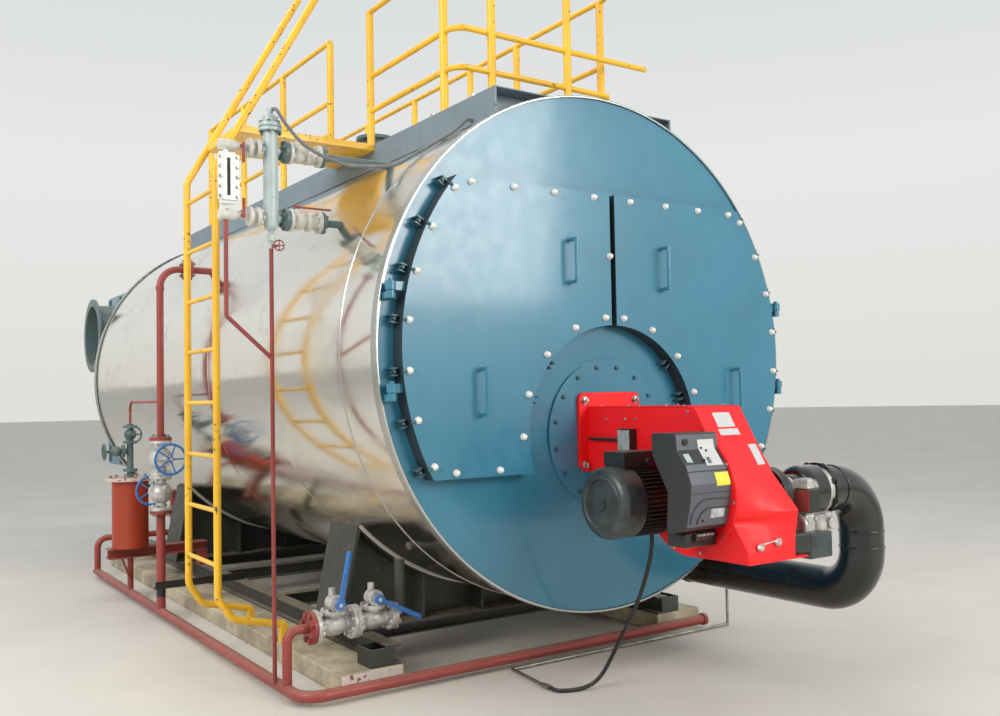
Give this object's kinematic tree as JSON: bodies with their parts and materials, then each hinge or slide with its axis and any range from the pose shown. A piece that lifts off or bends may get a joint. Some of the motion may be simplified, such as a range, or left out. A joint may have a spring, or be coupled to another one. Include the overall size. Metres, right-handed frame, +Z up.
{
  "type": "industrial boiler",
  "caption": "Horizontal fire-tube steam boiler in bright cladding with a red burner, two front doors, valves, yellow ladder and platform, on concrete plinths",
  "frame": {"origin": "on the floor under the middle of the whole boiler, 2.821 m behind the front plate and 0.230 m left of the shell axis", "axes": "+Z up, the front plate faces -Y, the shell runs along +Y"},
  "size_m": [3.16, 7.86, 4.1003],
  "materials": {
    "cladding": "polished",
    "teal": "satin",
    "furnace": "matte",
    "bright": "polished",
    "red": "gloss",
    "dark": "satin",
    "plastic": "matte",
    "silver": "satin",
    "black": "satin",
    "concrete": "rough",
    "greygreen": "satin",
    "redbrown": "satin",
    "blue": "gloss",
    "orange": "satin",
    "white": "gloss",
    "yellow": "gloss",
    "steelgrey": "satin",
    "hose": "matte"
  },
  "bodies": {
    "boiler": {"shell": "cladding", "front_smokebox": "cladding", "front_plate": "teal", "rear_plate": "teal", "end_rims": "cladding", "tube_plate": "furnace", "burner_throat": "furnace", "burner_ring": "teal", "door_clamps": "teal", "hinge_brackets": "teal", "burner_housing": "red", "burner_motor": "dark", "control_cover": "plastic", "burner_switches": "plastic", "gas_valve": "silver", "recirculation_pipe": "black", "plinths": "concrete", "base_beams": "black", "saddles": "black", "rear_smokebox": "teal", "flue_outlet": "greygreen", "feed_pipe": "redbrown", "feed_valves": "silver", "feed_vessel": "orange", "vessel_frame": "redbrown", "vessel_piping": "greygreen", "floor_pipes": "redbrown", "blowdown_valves": "silver", "level_column": "greygreen", "level_valves": "silver", "level_gauge": "white", "ladder": "yellow", "platform_deck": "steelgrey", "platform_beams": "steelgrey", "left_railing": "yellow", "front_railing": "yellow", "right_railing": "yellow", "steam_valve": "silver", "safety_valves": "silver", "pilot_line": "bright", "burner_hose": "hose", "probe_cable": "hose"},
    "left_door_leaf": {"left_door": "teal", "left_door_bolts": "bright"},
    "right_door_leaf": {"right_door": "teal", "right_door_bolts": "bright"},
    "lever_a": {"blowdown_lever_a": "blue"},
    "lever_b": {"blowdown_lever_b": "blue"},
    "gauge_lever_body": {"gauge_lever": "redbrown"},
    "wheel_upper": {"feed_wheel_upper": "blue"},
    "wheel_lower": {"feed_wheel_lower": "blue"}
  },
  "joints": [
    {"name": "left_door_hinge", "type": "hinge", "parent": "boiler", "child": "left_door_leaf", "pos_m": [-1.066, -2.881, 1.731], "axis": [0, 0, -1], "range_deg": [0, 110]},
    {"name": "right_door_hinge", "type": "hinge", "parent": "boiler", "child": "right_door_leaf", "pos_m": [1.526, -2.881, 1.731], "axis": [0, 0, 1], "range_deg": [0, 110]},
    {"name": "blowdown_valve_a_turn", "type": "hinge", "parent": "boiler", "child": "lever_a", "pos_m": [-1.015, -2.206, 0.445], "axis": [0, -1, 0], "range_deg": [0, 90]},
    {"name": "blowdown_valve_b_turn", "type": "hinge", "parent": "boiler", "child": "lever_b", "pos_m": [-0.795, -2.206, 0.445], "axis": [0, -1, 0], "range_deg": [0, 90]},
    {"name": "gauge_valve_turn", "type": "hinge", "parent": "boiler", "child": "gauge_lever_body", "pos_m": [-1.15, -2.021, 2.477], "axis": [0, 0, 1], "range_deg": [-90, 0]},
    {"name": "feed_stop_wheel_upper", "type": "hinge", "parent": "boiler", "child": "wheel_upper", "pos_m": [-1.265, -0.108, 1.098], "axis": [0, -1, 0], "range_deg": [-1080, 0]},
    {"name": "feed_stop_wheel_lower", "type": "hinge", "parent": "boiler", "child": "wheel_lower", "pos_m": [-1.265, 0.382, 0.858], "axis": [0, 1, 0], "range_deg": [-1080, 0]}
  ]
}
